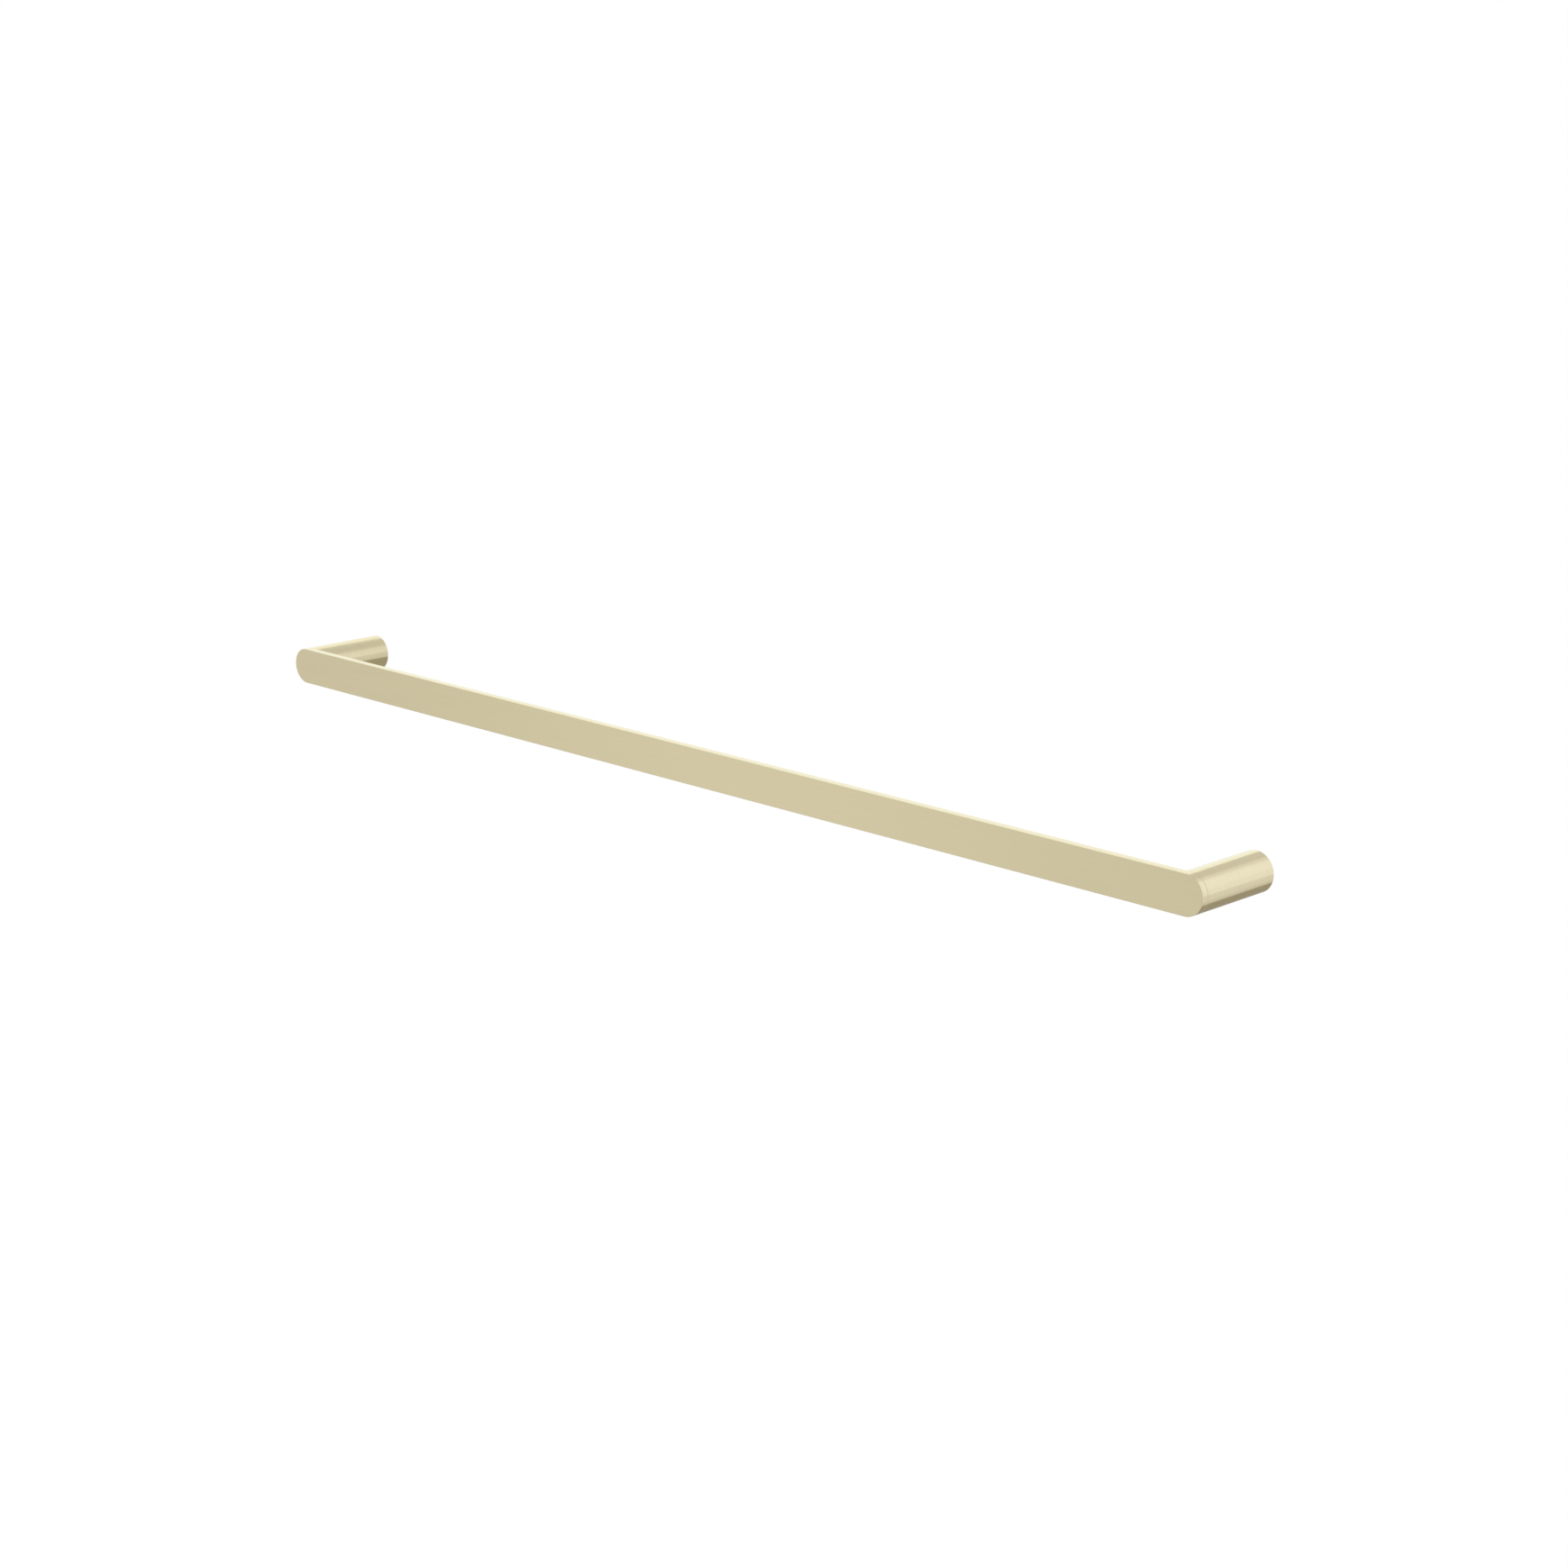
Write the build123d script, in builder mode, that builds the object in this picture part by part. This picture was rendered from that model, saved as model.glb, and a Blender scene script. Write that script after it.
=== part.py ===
from build123d import *
import os
from math import isclose, tan, radians

# A towel rail: a flat bar with round ends, held in front of a wall by two turned posts.
# Each post is screwed to the back of the bar from inside, slips over a bracket on the wall,
# and is pulled back against the wall by a cone-pointed grub screw in the bracket's groove.
# Sizes are in millimetres. +X runs along the bar, +Y goes into the wall and +Z is up.
# The origin is on the wall plane, midway between the posts, at the height of their axes.

# The rail as a whole
post_spacing = 800.0
projection = 65.0

# Flat bar
bar_height = 25.0
bar_thickness = 5.0
bar_front_radius = 0.4
bar_back_break = 0.2
bar_front_skin = 1.1

# Posts, which have the bar's height as their diameter so that they run flush with its round ends
post_wall = 2.3
post_web = 6.5
post_front_break = 0.2
post_rear_break = 0.3

# Wall brackets
bracket_clearance = 0.2
bracket_nose = 3.85
bracket_lead_in = 1.0
bracket_head_room = 7.0
groove_depth = 2.2
groove_floor = 0.5

# Countersunk hole in each bracket for the wall screw
wall_screw_hole_diameter = 5.3
wall_screw_sink_diameter = 10.6
wall_screw_sink_angle = 90.0

# Grub screws, whose point fits the groove in the bracket. Their axis stands a little further from the wall
# than the groove does, so that tightening them pulls the post back
grub_diameter = 4.0
grub_from_wall = 8.0
grub_pull_in = 0.3
grub_tip_clearance = 0.1
grub_recess = 0.3
grub_point_angle = 90.0
grub_rim_break = 0.4
grub_hex = 2.0
grub_hex_depth = 1.6
grub_hole_sink = 0.3
grub_hole_sink_angle = 90.0
grub_hole_approach = 1.0

# Screws that clamp the posts to the bar
post_screw_diameter = 4.0
post_screw_head_diameter = 7.0
post_screw_head_height = 4.0
post_screw_head_break = 0.4
post_screw_tip_break = 0.4
post_screw_hex = 3.0
post_screw_hex_depth = 2.0
post_screw_hole_clearance = 0.25
post_screw_tap_runout = 0.4
key_room = 1.25

# Gap between a screw and its tapped hole, all round
thread_clearance = 0.05

# Places and sizes that follow from the above
post_radius = bar_height / 2
post_length = projection - bar_thickness
socket_radius = post_radius - post_wall
bracket_radius = socket_radius - bracket_clearance
point_slope = tan(radians(grub_point_angle / 2))
groove_floor_radius = bracket_radius - groove_depth
groove_half_floor = groove_floor / 2
groove_half_mouth = groove_half_floor + groove_depth * point_slope
groove_from_wall = grub_from_wall - grub_pull_in
bracket_length = groove_from_wall + groove_half_mouth + bracket_nose + bracket_lead_in
socket_depth = bracket_length + bracket_head_room
access_radius = post_screw_head_diameter / 2 + key_room
web_back = post_length - post_web
grub_radius = grub_diameter / 2
grub_tip_depth = groove_floor_radius + (grub_pull_in + grub_tip_clearance) / point_slope
grub_outer_depth = post_radius - grub_recess
grub_hole_radius = grub_radius + thread_clearance
grub_hole_start = post_radius + grub_hole_approach
grub_hole_start_radius = (
    grub_hole_radius + grub_hole_sink + grub_hole_approach * tan(radians(grub_hole_sink_angle / 2))
)
grub_cone_depth = grub_tip_depth + (grub_radius - groove_half_floor) / point_slope
post_screw_radius = post_screw_diameter / 2
post_screw_hole_radius = post_screw_radius + post_screw_hole_clearance
post_screw_grip = bar_thickness - bar_front_skin - post_screw_tap_runout
post_screw_tip = post_length + post_screw_grip
head_radius = post_screw_head_diameter / 2
head_top = web_back - post_screw_head_height

post_places = {"left": -post_spacing / 2, "right": post_spacing / 2}

os.makedirs("parts", exist_ok=True)

# Flat bar: its face has a softened rim, and a blind tapped hole behind each post takes that post's screw
with BuildPart() as front_bar:
    with BuildSketch(Plane.XZ.offset(post_length)):
        SlotCenterToCenter(center_separation=post_spacing, height=bar_height)
    extrude(amount=bar_thickness)
    front_face = front_bar.faces().sort_by(Axis.Y)[0]
    fillet(front_face.edges(), radius=bar_front_radius)
    back_face = front_bar.faces().sort_by(Axis.Y)[-1]
    chamfer(back_face.edges(), length=bar_back_break)
    for x in post_places.values():
        with Locations(Plane(origin=(x, -post_length, 0), z_dir=(0, 1, 0))):
            Hole(
                radius=post_screw_radius + thread_clearance,
                depth=post_screw_grip + post_screw_tap_runout,
            )
front_bar.part.label = "front_bar"
export_step(front_bar.part, "parts/front_bar.step")

for side, x in post_places.items():
    turning_plane = Plane(origin=(x, 0, 0))
    turning_axis = Axis((x, 0, 0), (0, 1, 0))

    # Post: turned, with a socket for the bracket, a narrower bore for the screw's head and key,
    # and a web at the front that the screw clamps to the bar
    with BuildPart() as post:
        with BuildSketch(turning_plane):
            with BuildLine():
                Polyline(
                    (post_screw_hole_radius, -post_length),
                    (post_radius, -post_length),
                    (post_radius, 0),
                    (socket_radius, 0),
                    (socket_radius, -socket_depth),
                    (access_radius, -socket_depth),
                    (access_radius, -web_back),
                    (post_screw_hole_radius, -web_back),
                    close=True,
                )
            make_face()
        revolve(axis=turning_axis)
        rims = post.edges().filter_by(GeomType.CIRCLE)
        outer_rims = rims.filter_by(lambda rim: isclose(rim.radius, post_radius)).sort_by(Axis.Y)
        chamfer(outer_rims[0], length=post_front_break)
        chamfer(outer_rims[-1], length=post_rear_break)
        with Locations(Plane(origin=(x, -grub_from_wall, -grub_hole_start), z_dir=(0, 0, -1))):
            CounterSinkHole(
                radius=grub_hole_radius,
                counter_sink_radius=grub_hole_start_radius,
                depth=grub_hole_start,
                counter_sink_angle=grub_hole_sink_angle,
            )
    post.part.label = f"{side}_post"
    export_step(post.part, f"parts/{side}_post.step")

    # Wall bracket: a turned plug with a lead-in at the front, a groove for the grub screw's point
    # and a countersunk hole for the wall screw
    with BuildPart() as bracket:
        with BuildSketch(turning_plane):
            with BuildLine():
                Polyline(
                    (0, 0),
                    (bracket_radius, 0),
                    (bracket_radius, groove_half_mouth - groove_from_wall),
                    (groove_floor_radius, groove_half_floor - groove_from_wall),
                    (groove_floor_radius, -groove_half_floor - groove_from_wall),
                    (bracket_radius, -groove_half_mouth - groove_from_wall),
                    (bracket_radius, bracket_lead_in - bracket_length),
                    (bracket_radius - bracket_lead_in, -bracket_length),
                    (0, -bracket_length),
                    close=True,
                )
            make_face()
        revolve(axis=turning_axis)
        with Locations(Plane(origin=(x, -bracket_length, 0), z_dir=(0, -1, 0))):
            CounterSinkHole(
                radius=wall_screw_hole_diameter / 2,
                counter_sink_radius=wall_screw_sink_diameter / 2,
                counter_sink_angle=wall_screw_sink_angle,
            )
    bracket.part.label = f"{side}_wall_bracket"
    export_step(bracket.part, f"parts/{side}_wall_bracket.step")

# Grub screws, up through the underside of each post, with their points just off the groove's flank
with BuildPart() as grub_screws:
    for x in post_places.values():
        with BuildSketch(Plane(origin=(x, -grub_from_wall, 0), x_dir=(1, 0, 0), z_dir=(0, -1, 0))):
            with BuildLine():
                Polyline(
                    (0, -grub_outer_depth),
                    (grub_radius - grub_rim_break, -grub_outer_depth),
                    (grub_radius, grub_rim_break - grub_outer_depth),
                    (grub_radius, -grub_cone_depth),
                    (groove_half_floor, -grub_tip_depth),
                    (0, -grub_tip_depth),
                    close=True,
                )
            make_face()
        revolve(axis=Axis((x, -grub_from_wall, 0), (0, 0, 1)))
        with BuildSketch(Plane(origin=(x, -grub_from_wall, -grub_outer_depth), z_dir=(0, 0, -1))):
            RegularPolygon(radius=grub_hex / 2, side_count=6, major_radius=False)
        extrude(amount=-grub_hex_depth, mode=Mode.SUBTRACT)
grub_screws.part.label = "grub_screws"
export_step(grub_screws.part, "parts/grub_screws.step")

# Post screws, with their heads seated on the posts' webs and their ends in the bar
with BuildPart() as post_screws:
    for x in post_places.values():
        with BuildSketch(Plane(origin=(x, 0, 0))):
            with BuildLine():
                Polyline(
                    (0, -post_screw_tip),
                    (post_screw_radius - post_screw_tip_break, -post_screw_tip),
                    (post_screw_radius, post_screw_tip_break - post_screw_tip),
                    (post_screw_radius, -web_back),
                    (head_radius, -web_back),
                    (head_radius, -head_top - post_screw_head_break),
                    (head_radius - post_screw_head_break, -head_top),
                    (0, -head_top),
                    close=True,
                )
            make_face()
        revolve(axis=Axis((x, 0, 0), (0, 1, 0)))
        with BuildSketch(Plane(origin=(x, -head_top, 0), z_dir=(0, 1, 0))):
            RegularPolygon(radius=post_screw_hex / 2, side_count=6, major_radius=False)
        extrude(amount=-post_screw_hex_depth, mode=Mode.SUBTRACT)
post_screws.part.label = "post_screws"
export_step(post_screws.part, "parts/post_screws.step")
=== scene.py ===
from math import cos, pi, radians, sin

import bmesh
import bpy
from mathutils import Matrix, Quaternion, Vector


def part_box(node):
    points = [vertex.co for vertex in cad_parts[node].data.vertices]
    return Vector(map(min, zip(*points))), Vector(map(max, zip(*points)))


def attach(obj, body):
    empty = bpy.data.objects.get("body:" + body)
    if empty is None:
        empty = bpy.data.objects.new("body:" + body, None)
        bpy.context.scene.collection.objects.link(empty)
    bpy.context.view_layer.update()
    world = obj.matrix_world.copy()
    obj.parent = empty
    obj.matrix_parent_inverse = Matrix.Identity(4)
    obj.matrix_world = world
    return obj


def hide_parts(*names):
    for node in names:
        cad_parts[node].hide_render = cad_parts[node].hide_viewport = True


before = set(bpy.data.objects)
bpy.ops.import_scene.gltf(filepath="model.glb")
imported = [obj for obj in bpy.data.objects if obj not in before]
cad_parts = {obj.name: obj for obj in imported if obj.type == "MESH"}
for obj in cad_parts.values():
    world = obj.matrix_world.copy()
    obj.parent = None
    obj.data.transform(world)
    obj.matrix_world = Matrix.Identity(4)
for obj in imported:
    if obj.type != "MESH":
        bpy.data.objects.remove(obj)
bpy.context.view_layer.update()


# Wall brackets: two plugs of stainless steel, turned on a lathe and left as turned.
# Each is screwed to the wall through its countersunk hole before its post is slipped over it.
# They keep their own solids, and show the fine rings that the cutting tool leaves.
bracket_low, bracket_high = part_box("right_wall_bracket")
bracket_radius = (bracket_high.z - bracket_low.z) / 2
bracket_length = bracket_high.y - bracket_low.y
post_axis_x = (bracket_low.x + bracket_high.x) / 2
tool_ring_pitch = 0.00018
tool_ring_fade = 0.02
tool_ring_depth = 0.000012
tool_ring_roughness = 0.2
turned_steel_dark = (0.43, 0.42, 0.40, 1)
turned_steel_light = (0.60, 0.59, 0.57, 1)
turned_steel_roughness = 0.24
line_detail = 2.0
line_raggedness = 0.6
untinted = (1, 1, 1, 1)


class Shade:
    """One value of a finish, which may vary over the surface: an output socket in a node tree."""

    def __init__(self, tree, socket=None):
        self.tree = tree
        self.socket = socket

    def node(self, kind, settings=None, inputs=None, output=0):
        """Adds a node, with its settings first and then the values or links of its inputs.
        Gives one of its outputs."""
        added = self.tree.nodes.new(kind)
        for name, setting in (settings or {}).items():
            setattr(added, name, setting)
        for name, value in (inputs or {}).items():
            if isinstance(value, Shade):
                self.tree.links.new(value.socket, added.inputs[name])
            else:
                added.inputs[name].default_value = value
        return Shade(self.tree, added.outputs[output] if added.outputs else None)

    def output(self, name):
        """Another output of the node that this value comes from."""
        return Shade(self.tree, self.socket.node.outputs[name])

    def maths(self, operation, *values):
        return self.node("ShaderNodeMath", {"operation": operation}, dict(enumerate(values)))

    def __add__(self, other):
        return self.maths("ADD", self, other)

    def __sub__(self, other):
        return self.maths("SUBTRACT", self, other)

    def __rsub__(self, other):
        return self.maths("SUBTRACT", other, self)

    def __mul__(self, other):
        return self.maths("MULTIPLY", self, other)

    def __truediv__(self, other):
        return self.maths("DIVIDE", self, other)

    def __pow__(self, other):
        return self.maths("POWER", self, other)

    def __abs__(self):
        return self.maths("ABSOLUTE", self)

    __radd__ = __add__
    __rmul__ = __mul__

    def blend(self, dark, light):
        """A colour from dark, where this value is 0, to light, where it is 1."""
        return self.node("ShaderNodeMix", {"data_type": "RGBA"}, {0: self, 6: dark, 7: light}, output=2)


def new_finish(name):
    """An empty material, and the place on the piece, in metres, as the first value of its node tree."""
    material = bpy.data.materials.new(name)
    material.use_nodes = True
    material.node_tree.nodes.clear()
    return material, Shade(material.node_tree).node("ShaderNodeTexCoord", output="Object")


def parts_of(vector):
    """The x, y and z of a vector."""
    split = vector.node("ShaderNodeSeparateXYZ", inputs={"Vector": vector})
    return [split.output(axis) for axis in "XYZ"]


def lathe_lines(place, pitch, fade):
    """Lines round a post's axis, from 0 to 1: rings along the length of a side and across an end face.
    They stand about a pitch apart, and come and go within the fade length."""
    x, y, z = parts_of(place)
    off_axis = abs(x) - post_axis_x
    radius = (off_axis * off_axis + z * z) ** 0.5
    slow = place.node("ShaderNodeVectorMath", {"operation": "SCALE"}, {"Vector": place, "Scale": 1 / fade})
    return place.node(
        "ShaderNodeTexNoise",
        {"noise_dimensions": "4D"},
        {
            "Vector": slow,
            "W": (radius + y) / pitch,
            "Scale": 1.0,
            "Detail": line_detail,
            "Roughness": line_raggedness,
        },
    )


def bare_metal(colour, roughness, height, depth, glancing=untinted):
    """Closes a finish as bare metal, with the height as fine relief of that depth in metres.
    The glancing colour tints what it mirrors at a low angle."""
    relief = colour.node("ShaderNodeBump", inputs={"Strength": 1.0, "Distance": depth, "Height": height})
    metal = colour.node(
        "ShaderNodeBsdfPrincipled",
        inputs={
            "Base Color": colour,
            "Metallic": 1.0,
            "Roughness": roughness,
            "Specular Tint": glancing,
            "Normal": relief,
        },
    )
    metal.node("ShaderNodeOutputMaterial", inputs={"Surface": metal})


turned_steel, steel_place = new_finish("turned_steel")
tool_rings = lathe_lines(steel_place, tool_ring_pitch, tool_ring_fade)
bare_metal(
    colour=tool_rings.blend(turned_steel_dark, turned_steel_light),
    roughness=turned_steel_roughness + tool_ring_roughness * tool_rings,
    height=tool_rings,
    depth=tool_ring_depth,
)
for name in ("left_wall_bracket", "right_wall_bracket"):
    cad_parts[name].data.materials[0] = turned_steel


# Posts: two lengths of round brass bar, bored out from the wall end, with a pale gold plated finish.
# They are turned and then satined on the lathe, so their fine lines run round them.
# A small tapped hole under each one, near the wall, takes the grub screw.
post_low, post_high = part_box("right_post")
post_radius = (post_high.z - post_low.z) / 2
post_front = post_low.y
post_steps = 192
front_edge_round = 0.0002
rear_edge_round = 0.0003
bracket_clearance = 0.0002
bracket_head_room = 0.007
socket_radius = bracket_radius + bracket_clearance
socket_end = -bracket_length - bracket_head_room
screw_low, screw_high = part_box("post_screws")
screw_head_radius = (screw_high.z - screw_low.z) / 2
screw_head_height = 0.004
screw_seat = screw_high.y - screw_head_height
screw_shank_radius = 0.002
screw_hole_clearance = 0.00025
screw_hole_radius = screw_shank_radius + screw_hole_clearance
key_room = 0.00125
access_radius = screw_head_radius + key_room
grub_low, grub_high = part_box("grub_screws")
grub_y = (grub_low.y + grub_high.y) / 2
grub_radius = (grub_high.y - grub_low.y) / 2
thread_clearance = 0.00005
grub_hole_radius = grub_radius + thread_clearance
grub_hole_sink = 0.0003
grub_hole_margin = 0.001
grub_hole_end = -socket_radius / 2
grub_hole_steps = 48
hole_strip_half = 0.004
gold_dark = (0.545, 0.482, 0.308, 1)
gold_light = (0.665, 0.598, 0.397, 1)
gold_glancing = (0.84, 0.84, 0.84, 1)
post_roughness = 0.12
satin_line_pitch = 0.0003
satin_line_fade = 0.012
satin_line_depth = 0.000004
satin_line_roughness = 0.08


def quarter_round(radius, height, size, start, steps=4):
    """Profile points of a rounded edge: a quarter turn about (radius, height).
    It begins at the start angle, in degrees."""
    turns = [radians(start + 90 * step / steps) for step in range(steps + 1)]
    return [(radius + size * cos(turn), height + size * sin(turn)) for turn in turns]


def made_piece(name, shape):
    """A piece with that shape, its faces turned outwards."""
    bmesh.ops.recalc_face_normals(shape, faces=shape.faces)
    mesh = bpy.data.meshes.new(name)
    shape.to_mesh(mesh)
    shape.free()
    piece = bpy.data.objects.new(name, mesh)
    bpy.context.scene.collection.objects.link(piece)
    return piece


def lathe(name, profile, places, steps, closed=False):
    """A turned piece: a profile of (radius, height) points taken round the local Z axis, at each place.
    A radius may also be a function of the turn."""
    turned = bmesh.new()
    for place in places:
        rings = []
        for radius, height in profile:
            turns = [2 * pi * step / steps for step in range(1 if radius == 0 else steps)]
            radii = [radius(turn) if callable(radius) else radius for turn in turns]
            points = [Vector((r * cos(turn), r * sin(turn), height)) for r, turn in zip(radii, turns)]
            rings.append([turned.verts.new(place @ point) for point in points])
        following = rings[1:] + rings[:1] if closed else rings[1:]
        for ring, next_ring in zip(rings, following):
            for step in range(steps):
                corners = (
                    ring[step % len(ring)],
                    ring[(step + 1) % len(ring)],
                    next_ring[(step + 1) % len(next_ring)],
                    next_ring[step % len(next_ring)],
                )
                turned.faces.new(list(dict.fromkeys(corners)))
    return made_piece(name, turned)


def drill(piece, drill_shape):
    """Takes the drill's shape out of the piece, and clears the drill away."""
    hole = piece.modifiers.new("hole", "BOOLEAN")
    hole.operation = "DIFFERENCE"
    hole.solver = "EXACT"
    hole.object = drill_shape
    bpy.context.view_layer.update()
    drilled = piece.evaluated_get(bpy.context.evaluated_depsgraph_get())
    solid = piece.data
    piece.data = bpy.data.meshes.new_from_object(drilled)
    piece.modifiers.clear()
    bpy.data.meshes.remove(solid)
    bpy.data.objects.remove(drill_shape)


def polish(piece, finish, sharpest=35):
    """Gives a piece its finish, and smooth shading that breaks at edges sharper than that many degrees."""
    piece.data.materials.clear()
    piece.data.materials.append(finish)
    piece.data.shade_smooth()
    piece.data.set_sharp_from_angle(angle=radians(sharpest))
    even = piece.modifiers.new("even_shading", "WEIGHTED_NORMAL")
    even.keep_sharp = True
    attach(piece, "root")


def towards_wall(axis_x):
    """Turns a shape's Z axis into a post's axis, which runs along Y."""
    return Matrix.Translation((axis_x, 0, 0)) @ Matrix.Rotation(radians(-90), 4, "X")


front_edge = quarter_round(
    post_radius - front_edge_round, post_front + front_edge_round, front_edge_round, start=-90
)
rear_edge = quarter_round(post_radius - rear_edge_round, -rear_edge_round, rear_edge_round, start=0)
post_profile = [
    (screw_hole_radius, post_front),
    *front_edge,
    (post_radius, grub_y - hole_strip_half),
    (post_radius, grub_y + hole_strip_half),
    *rear_edge,
    (socket_radius, 0),
    (socket_radius, socket_end),
    (access_radius, socket_end),
    (access_radius, screw_seat),
    (screw_hole_radius, screw_seat),
]
grub_drill_profile = [
    (0, -post_radius - grub_hole_margin),
    (grub_hole_radius + grub_hole_sink + grub_hole_margin, -post_radius - grub_hole_margin),
    (grub_hole_radius, -post_radius + grub_hole_sink),
    (grub_hole_radius, grub_hole_end),
    (0, grub_hole_end),
]

satin_gold, gold_place = new_finish("satin_pale_gold_post")
satin_lines = lathe_lines(gold_place, satin_line_pitch, satin_line_fade)
bare_metal(
    colour=satin_lines.blend(gold_dark, gold_light),
    roughness=post_roughness + satin_line_roughness * satin_lines,
    height=satin_lines,
    depth=satin_line_depth,
    glancing=gold_glancing,
)
for name, axis_x in {"left_post": -post_axis_x, "right_post": post_axis_x}.items():
    post = lathe(f"turned_{name}", post_profile, [towards_wall(axis_x)], post_steps, closed=True)
    below = Matrix.Translation((axis_x, grub_y, 0))
    drill(post, lathe("grub_drill", grub_drill_profile, [below], grub_hole_steps))
    polish(post, satin_gold)
    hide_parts(name)


# Flat bar: one length of flat brass bar with full round ends, in the same pale gold plating as the posts.
# It is brushed along its length on the face and back, and more lightly along its edge all the way round.
# The post screws hold it from behind, in two blind tapped holes.
bar_low, bar_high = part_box("front_bar")
bar_radius = (bar_high.z - bar_low.z) / 2
bar_front = bar_low.y
bar_back = bar_high.y
bar_end_steps = 72
bar_straight_steps = 40
bar_front_round = 0.0004
bar_front_steps = 8
bar_back_break = 0.0002
tapped_radius = screw_shank_radius + thread_clearance
tap_runout = 0.0004
tapped_end = screw_low.y - tap_runout
tapped_steps = 36
bar_face_roughness = 0.2
bar_edge_roughness = 0.06
coarse_line_width = 0.0005
coarse_line_length = 0.09
coarse_line_share = 0.5
fine_line_width = 0.00014
fine_line_length = 0.025
brush_line_depth = 0.000006
brush_line_roughness = 0.2
edge_facing = 0.6
face_facing = 0.8


def bar_ring(shape, inset, y):
    """One ring of points round the bar: its upper and lower edge, each from the left tip to the right."""
    radius = bar_radius - inset
    turns = [pi / 2 * step / bar_end_steps for step in range(bar_end_steps + 1)]
    stations = [post_axis_x * (2 * step / bar_straight_steps - 1) for step in range(1, bar_straight_steps)]
    left_end = [(-post_axis_x - radius * cos(turn), radius * sin(turn)) for turn in turns]
    straight = [(x, radius) for x in stations]
    right_end = [(-x, z) for x, z in reversed(left_end)]
    upper = [shape.verts.new((x, y, z)) for x, z in left_end + straight + right_end]
    lower = [shape.verts.new((point.co.x, y, -point.co.z)) for point in upper[1:-1]]
    return upper, [upper[0], *lower, upper[-1]]


def bar_face(shape, upper, lower):
    """Closes a ring with a flat face, in strips from its upper edge to its lower edge."""
    for step in range(len(upper) - 1):
        corners = (upper[step], upper[step + 1], lower[step + 1], lower[step])
        shape.faces.new(list(dict.fromkeys(corners)))


bar_edge = [
    (bar_front_round - radius, bar_front + bar_front_round + height)
    for radius, height in quarter_round(0, 0, bar_front_round, start=-90, steps=bar_front_steps)
]
bar_edge += [(0, bar_back - bar_back_break), (bar_back_break, bar_back)]

bar_shape = bmesh.new()
bar_rings = [bar_ring(bar_shape, inset, y) for inset, y in bar_edge]
bar_face(bar_shape, *bar_rings[0])
bar_face(bar_shape, *bar_rings[-1])
for ring, next_ring in zip(bar_rings, bar_rings[1:]):
    for edge, next_edge in zip(ring, next_ring):
        for step in range(len(edge) - 1):
            bar_shape.faces.new((edge[step], edge[step + 1], next_edge[step + 1], next_edge[step]))
flat_bar = made_piece("brushed_flat_bar", bar_shape)
tap_drill_profile = [
    (0, tapped_end),
    (tapped_radius, tapped_end),
    (tapped_radius, bar_back + tapped_radius),
    (0, bar_back + tapped_radius),
]
both_posts = [towards_wall(-post_axis_x), towards_wall(post_axis_x)]
drill(flat_bar, lathe("tap_drill", tap_drill_profile, both_posts, tapped_steps))

brushed_gold, bar_place = new_finish("brushed_pale_gold_bar")
facing = abs(parts_of(bar_place.node("ShaderNodeNewGeometry", output="Normal"))[1])
on_face = facing.node(
    "ShaderNodeMapRange", inputs={"Value": facing, "From Min": edge_facing, "From Max": face_facing}
)


def brush_lines(place, width, length):
    """Brushed lines of that width and length, from 0 to 1.
    They run along the bar on its face and back, and along the edge on its edge."""
    lines = []
    for spacing in ((length, width, width), (length, width, length)):
        scale = tuple(1 / size for size in spacing)
        stretched = place.node("ShaderNodeVectorMath", {"operation": "MULTIPLY"}, {0: place, 1: scale})
        lines.append(
            place.node(
                "ShaderNodeTexNoise",
                inputs={
                    "Vector": stretched,
                    "Scale": 1.0,
                    "Detail": line_detail,
                    "Roughness": line_raggedness,
                },
            )
        )
    on_faces, on_edge = lines
    return on_face * on_faces + (1 - on_face) * on_edge


coarse_lines = brush_lines(bar_place, coarse_line_width, coarse_line_length)
fine_lines = brush_lines(bar_place, fine_line_width, fine_line_length)
bar_lines = coarse_line_share * coarse_lines + (1 - coarse_line_share) * fine_lines
bar_roughness = bar_edge_roughness + (bar_face_roughness - bar_edge_roughness) * on_face
bare_metal(
    colour=bar_lines.blend(gold_dark, gold_light),
    roughness=bar_roughness + brush_line_roughness * bar_lines,
    height=bar_lines,
    depth=brush_line_depth,
    glancing=gold_glancing,
)
polish(flat_bar, brushed_gold)
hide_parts("front_bar")


# Post screws: two stainless socket cap screws that clamp the posts to the bar from inside.
# They are cold formed with a knurled head and a rolled thread, and keep a faintly mottled grey surface.
screw_key = 0.003
screw_key_depth = 0.002
screw_head_break = 0.0004
screw_tip_break = 0.0004
screw_tip_radius = screw_shank_radius - screw_tip_break
screw_steps = 144
knurl_count = 36
knurl_depth = 0.00012
thread_pitch = 0.0007
thread_depth = 0.00038
rows_per_pitch = 10
half_crest_pitches = 1 / 16
flank_pitches = 5 / 16
screw_steel_dark = (0.36, 0.355, 0.35, 1)
screw_steel_light = (0.52, 0.51, 0.50, 1)
screw_steel_roughness = 0.28
mottle_size = 0.0012
mottle_detail = 4.0
mottle_depth = 0.00001
mottle_roughness = 0.16


def hexagon(across_flats):
    """Radius of a hexagon, as a function of the turn."""
    return lambda turn: across_flats / 2 / cos((turn + pi / 6) % (pi / 3) - pi / 6)


def knurled(turn):
    """Radius of the knurled head, as a function of the turn."""
    return screw_head_radius - knurl_depth * (1 - cos(knurl_count * turn)) / 2


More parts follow.
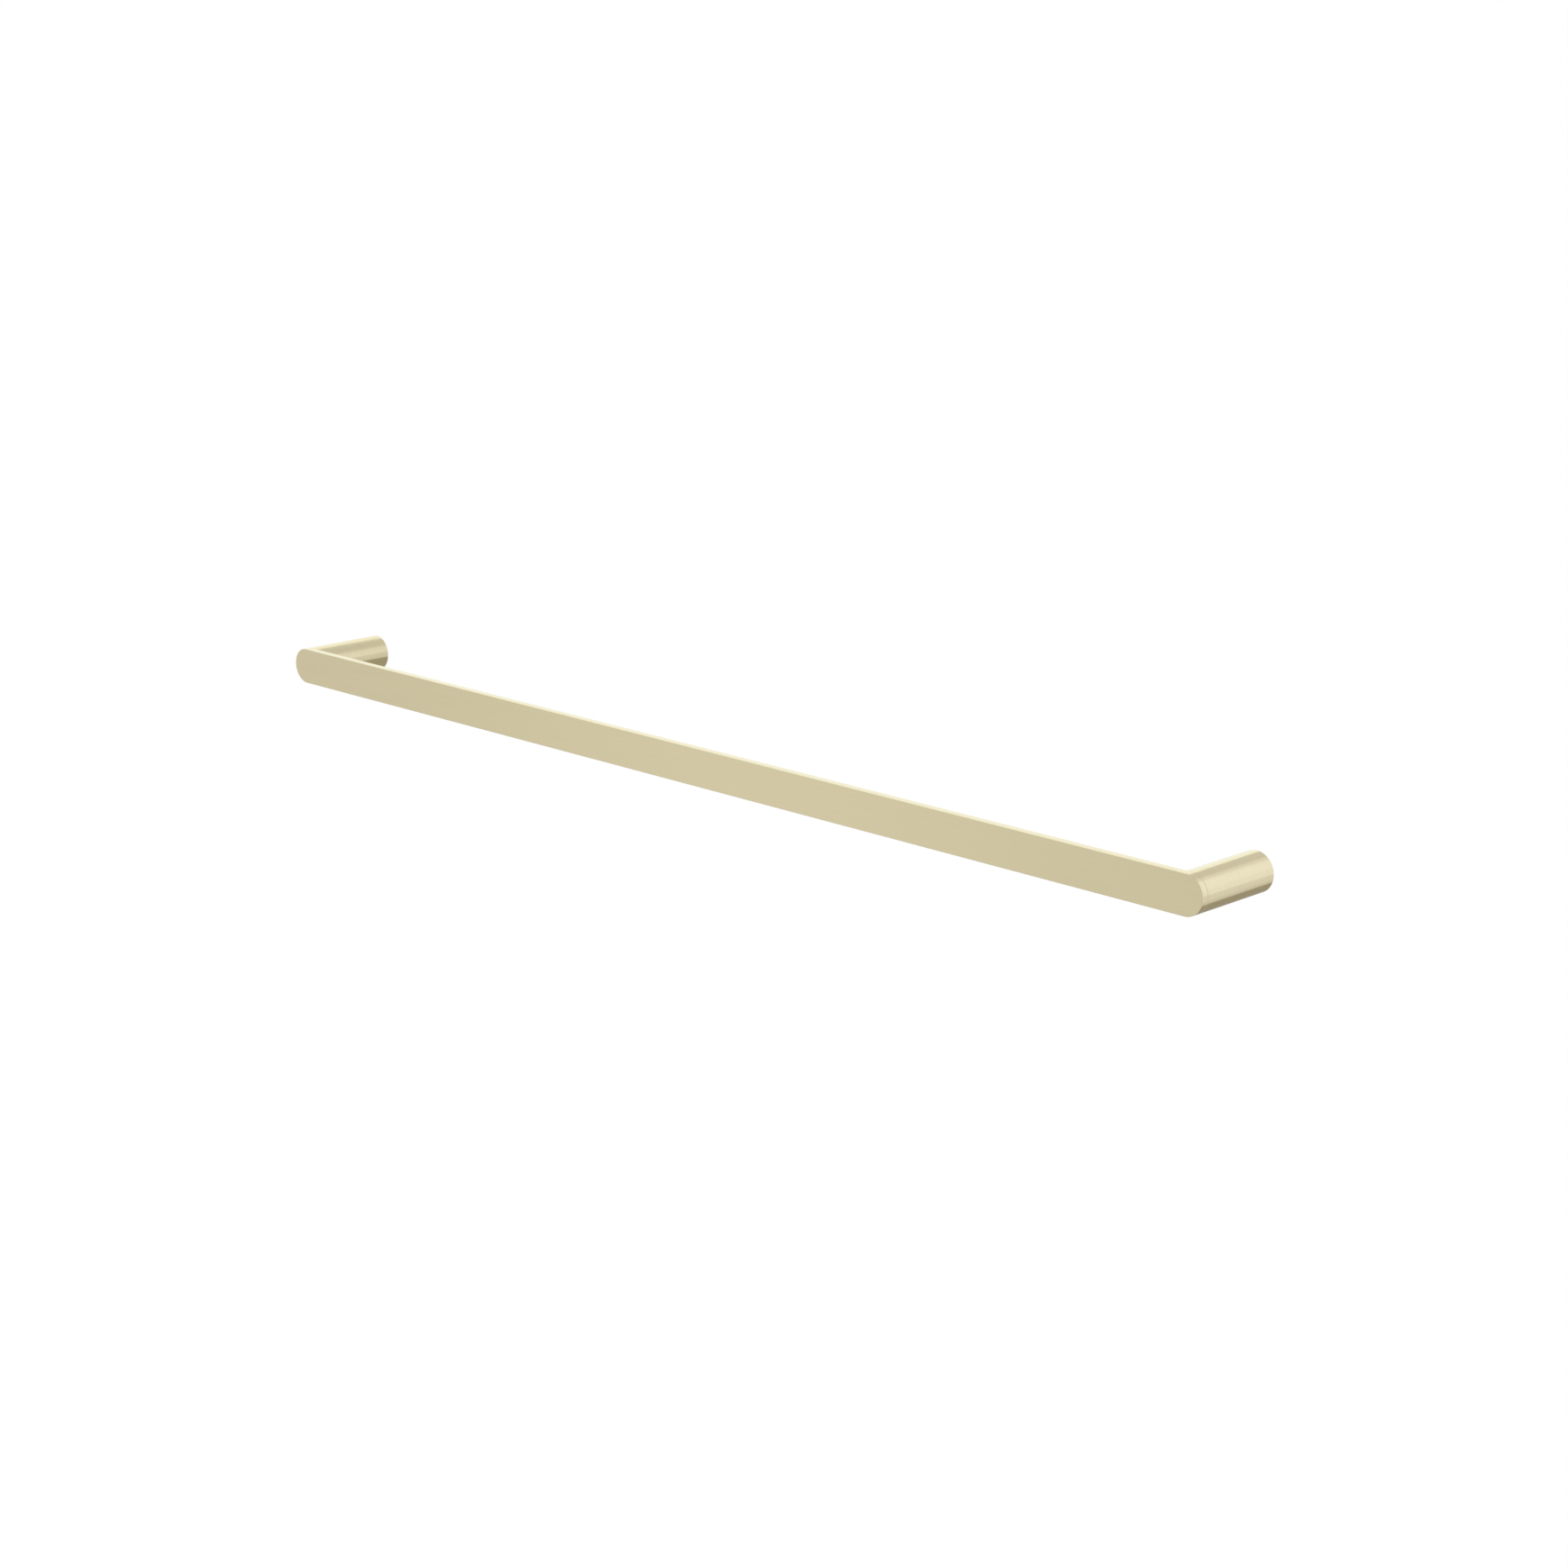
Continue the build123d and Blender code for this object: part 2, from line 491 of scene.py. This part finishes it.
def thread_ring(radius, limit, height):
    """A ring of a threaded shank: a V groove that climbs a pitch a turn, and stays inside the limit."""

    def around(turn):
        climb = (height / thread_pitch - turn / (2 * pi)) % 1
        from_crest = min(climb, 1 - climb)
        groove = min(max((from_crest - half_crest_pitches) / flank_pitches, 0), 1)
        return min(radius - thread_depth * groove, limit)

    return around, height


def thread(radius, start, end, start_limit, end_limit, run_in):
    """Rings of a threaded shank between two heights, narrowing to a limit over the run-in at each end."""
    count = round((end - start) / thread_pitch * rows_per_pitch)
    rings = []
    for row in range(count + 1):
        height = start + (end - start) * row / count
        start_share = min((height - start) / run_in, 1)
        end_share = min((end - height) / run_in, 1)
        limit = min(
            start_limit + (radius - start_limit) * start_share,
            end_limit + (radius - end_limit) * end_share,
        )
        rings.append(thread_ring(radius, limit, height))
    return rings


screw_thread = thread(
    screw_shank_radius,
    start=screw_low.y,
    end=screw_seat,
    start_limit=screw_tip_radius,
    end_limit=screw_shank_radius,
    run_in=screw_tip_break,
)
screw_profile = [
    (0, screw_low.y),
    *screw_thread,
    (screw_head_radius - knurl_depth, screw_seat),
    (knurled, screw_seat + screw_head_break),
    (knurled, screw_high.y - screw_head_break),
    (screw_head_radius - screw_head_break, screw_high.y),
    (hexagon(screw_key), screw_high.y),
    (hexagon(screw_key), screw_high.y - screw_key_depth),
    (0, screw_high.y - screw_key_depth),
]

screw_steel, screw_place = new_finish("screw_steel")
mottle = screw_place.node(
    "ShaderNodeTexNoise",
    inputs={"Vector": screw_place, "Scale": 1 / mottle_size, "Detail": mottle_detail},
)
bare_metal(
    colour=mottle.blend(screw_steel_dark, screw_steel_light),
    roughness=screw_steel_roughness + mottle_roughness * mottle,
    height=mottle,
    depth=mottle_depth,
)
post_screws = lathe("socket_cap_screws", screw_profile, both_posts, screw_steps)
polish(post_screws, screw_steel)
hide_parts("post_screws")


# Grub screws: two short stainless screws with a cone point and a hexagon socket, and no head.
# Each goes up through the underside of its post into the bracket's groove.
# There its point pulls the post back to the wall.
grub_key = 0.002
grub_key_depth = 0.0016
grub_rim_break = 0.0004
grub_point_radius = 0.00025
grub_point_start = grub_high.z - (grub_radius - grub_point_radius)
grub_steps = 96

grub_thread = thread(
    grub_radius,
    start=grub_low.z,
    end=grub_point_start,
    start_limit=grub_radius - grub_rim_break,
    end_limit=grub_radius,
    run_in=grub_rim_break,
)
grub_profile = [
    (0, grub_low.z + grub_key_depth),
    (hexagon(grub_key), grub_low.z + grub_key_depth),
    (hexagon(grub_key), grub_low.z),
    *grub_thread,
    (grub_radius - thread_depth, grub_point_start + thread_depth),
    (grub_point_radius, grub_high.z),
    (0, grub_high.z),
]
below_posts = [Matrix.Translation((axis_x, grub_y, 0)) for axis_x in (-post_axis_x, post_axis_x)]
grub_screws = lathe("cone_point_grub_screws", grub_profile, below_posts, grub_steps)
polish(grub_screws, screw_steel)
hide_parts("grub_screws")


# Floor: a plain pale matt floor well below the rail, which stands free as it would on the wall.
# What is seen of it, directly or in the metal, is nearly plain white, with a trace of the rail's shadow.
floor_z = -1.0
floor_half = 60.0
floor_colour = (0.99, 0.99, 0.99, 1)
floor_white_share = 0.96
white = (1, 1, 1, 1)

studio = bpy.context.scene
studio.view_settings.view_transform = "Standard"


def flat_sheet(name, low, high):
    """A level rectangle between two corners."""
    shape = bmesh.new()
    corners = [(low[0], low[1]), (high[0], low[1]), (high[0], high[1]), (low[0], high[1])]
    shape.faces.new([shape.verts.new((x, y, low[2])) for x, y in corners])
    sheet = made_piece(name, shape)
    return sheet


floor = flat_sheet("floor", (-floor_half, -floor_half, floor_z), (floor_half, floor_half, floor_z))
floor_paint, floor_place = new_finish("pale_floor")
floor_path = floor_place.node("ShaderNodeLightPath", output="Is Camera Ray")
floor_seen = floor_path + floor_path.output("Is Glossy Ray") + floor_path.output("Is Transmission Ray")
floor_matt = floor_place.node("ShaderNodeBsdfDiffuse", inputs={"Color": floor_colour})
floor_white = floor_place.node("ShaderNodeEmission", inputs={"Color": white, "Strength": 1.0})
floor_surface = floor_place.node(
    "ShaderNodeMixShader", inputs={0: floor_white_share * floor_seen, 1: floor_matt, 2: floor_white}
)
floor_place.node("ShaderNodeOutputMaterial", inputs={"Surface": floor_surface})
floor.data.materials.append(floor_paint)


# Grey card: a flat matt card laid level below the posts, on the wall side, which only the metal sees.
# It gives the posts' undersides something darker to mirror.
card_past_left_post = 0.4
card_past_right_post = 0.115
card_depth = 0.32
card_z = -0.2
card_colour = (0.485, 0.447, 0.376, 1)

card_low = (-post_axis_x - card_past_left_post, 0, card_z)
card_high = (post_axis_x + card_past_right_post, card_depth, card_z)
card = flat_sheet("grey_card", card_low, card_high)
card_paint, card_place = new_finish("grey_card")
card_matt = card_place.node("ShaderNodeBsdfDiffuse", inputs={"Color": card_colour})
card_place.node("ShaderNodeOutputMaterial", inputs={"Surface": card_matt})
card.data.materials.append(card_paint)
card.visible_camera = False
card.visible_diffuse = False
card.visible_shadow = False


# Surroundings: an even white all round, as in a tent of white cloth.
# What the metal mirrors from overhead is a little dimmer, so that the upper edges don't wash out.
overhead_start = 0.6
overhead_full = 1.0
overhead_dimming = 0.15

studio.world = bpy.data.worlds.new("white_studio")
studio.world.use_nodes = True
studio.world.node_tree.nodes.clear()
around = Shade(studio.world.node_tree).node("ShaderNodeTexCoord", output="Generated")
upward = parts_of(around)[2]
overhead = upward.node(
    "ShaderNodeMapRange", inputs={"Value": upward, "From Min": overhead_start, "From Max": overhead_full}
)
mirrored = around.node("ShaderNodeLightPath", output="Is Glossy Ray")
sky_strength = 1 - overhead_dimming * overhead * mirrored
sky = around.node("ShaderNodeBackground", inputs={"Color": white, "Strength": sky_strength})
sky.node("ShaderNodeOutputWorld", inputs={"Surface": sky})


# Softboxes: four soft rectangular lamps behind the rail, one low in front of it, and one high on its left.
# They draw the bright bands along the posts and lift the bar's upper edge and face a little.
straight_forward = (0, -1, 0)


def softbox(name, place, size, glow, towards=straight_forward, lean=0):
    """A lamp that the camera doesn't see. Its glow is what it adds to the white around it.
    It may be turned towards another side, and lean to one side by an angle in degrees."""
    width, height = size
    lamp = bpy.data.lights.new(name, "AREA")
    lamp.shape = "RECTANGLE"
    lamp.size = width
    lamp.size_y = height
    lamp.color = glow
    lamp.energy = pi * width * height
    box = bpy.data.objects.new(name, lamp)
    studio.collection.objects.link(box)
    box.location = place
    box.rotation_mode = "QUATERNION"
    upright = Vector(towards).to_track_quat("-Z", "Y")
    box.rotation_quaternion = upright @ Quaternion((0, 0, 1), radians(lean))
    box.visible_camera = False


softbox(
    "back_left_softbox",
    place=(-1.93, 1.7, 0.995),
    size=(2.74, 2.19),
    glow=(0.52, 0.57, 0.54),
)
softbox(
    "back_middle_softbox",
    place=(0.995, 1.015, 0.76),
    size=(1.01, 1.08),
    glow=(0.175, 0.195, 0.235),
)
softbox(
    "back_right_softbox",
    place=(1.187, 0.8, 0.353),
    size=(0.81, 0.96),
    glow=(0.20, 0.22, 0.27),
    lean=-16,
)
softbox(
    "low_right_softbox",
    place=(1.18, 0.78, -0.165),
    size=(0.64, 0.67),
    glow=(0.12, 0.13, 0.16),
)
softbox(
    "low_front_softbox",
    place=(-0.6, -0.75, -0.26),
    size=(0.42, 0.6),
    glow=(0.12, 0.12, 0.12),
    towards=(0.68, 0.685, 0.26),
)
softbox(
    "high_left_softbox",
    place=(-1.83, -0.82, 1.81),
    size=(3.0, 2.6),
    glow=(0.55, 0.61, 0.72),
    towards=(0.69, 0.45, -0.57),
)


# Camera: a long lens to the right of the rail and a little above it, looking slightly down.
# Its place and its lens are fitted to the rail's outline, with the lens measured in the picture's pixels.
camera_target = Vector((0.08793, -0.065, 0.00421))
camera_azimuth = radians(45)
camera_elevation = radians(15)
camera_distance = 1.9705
lens_pixels = 3541.65
picture_width = 1740
sensor_width = 36.0

camera_data = bpy.data.cameras.new("camera")
camera_data.sensor_width = sensor_width
camera_data.lens = lens_pixels / picture_width * sensor_width
camera = bpy.data.objects.new("camera", camera_data)
studio.collection.objects.link(camera)
camera_back = Vector((
    sin(camera_azimuth) * cos(camera_elevation),
    -cos(camera_azimuth) * cos(camera_elevation),
    sin(camera_elevation),
))
camera.location = camera_target + camera_distance * camera_back
camera.rotation_mode = "QUATERNION"
camera.rotation_quaternion = (-camera_back).to_track_quat("-Z", "Y")
studio.camera = camera
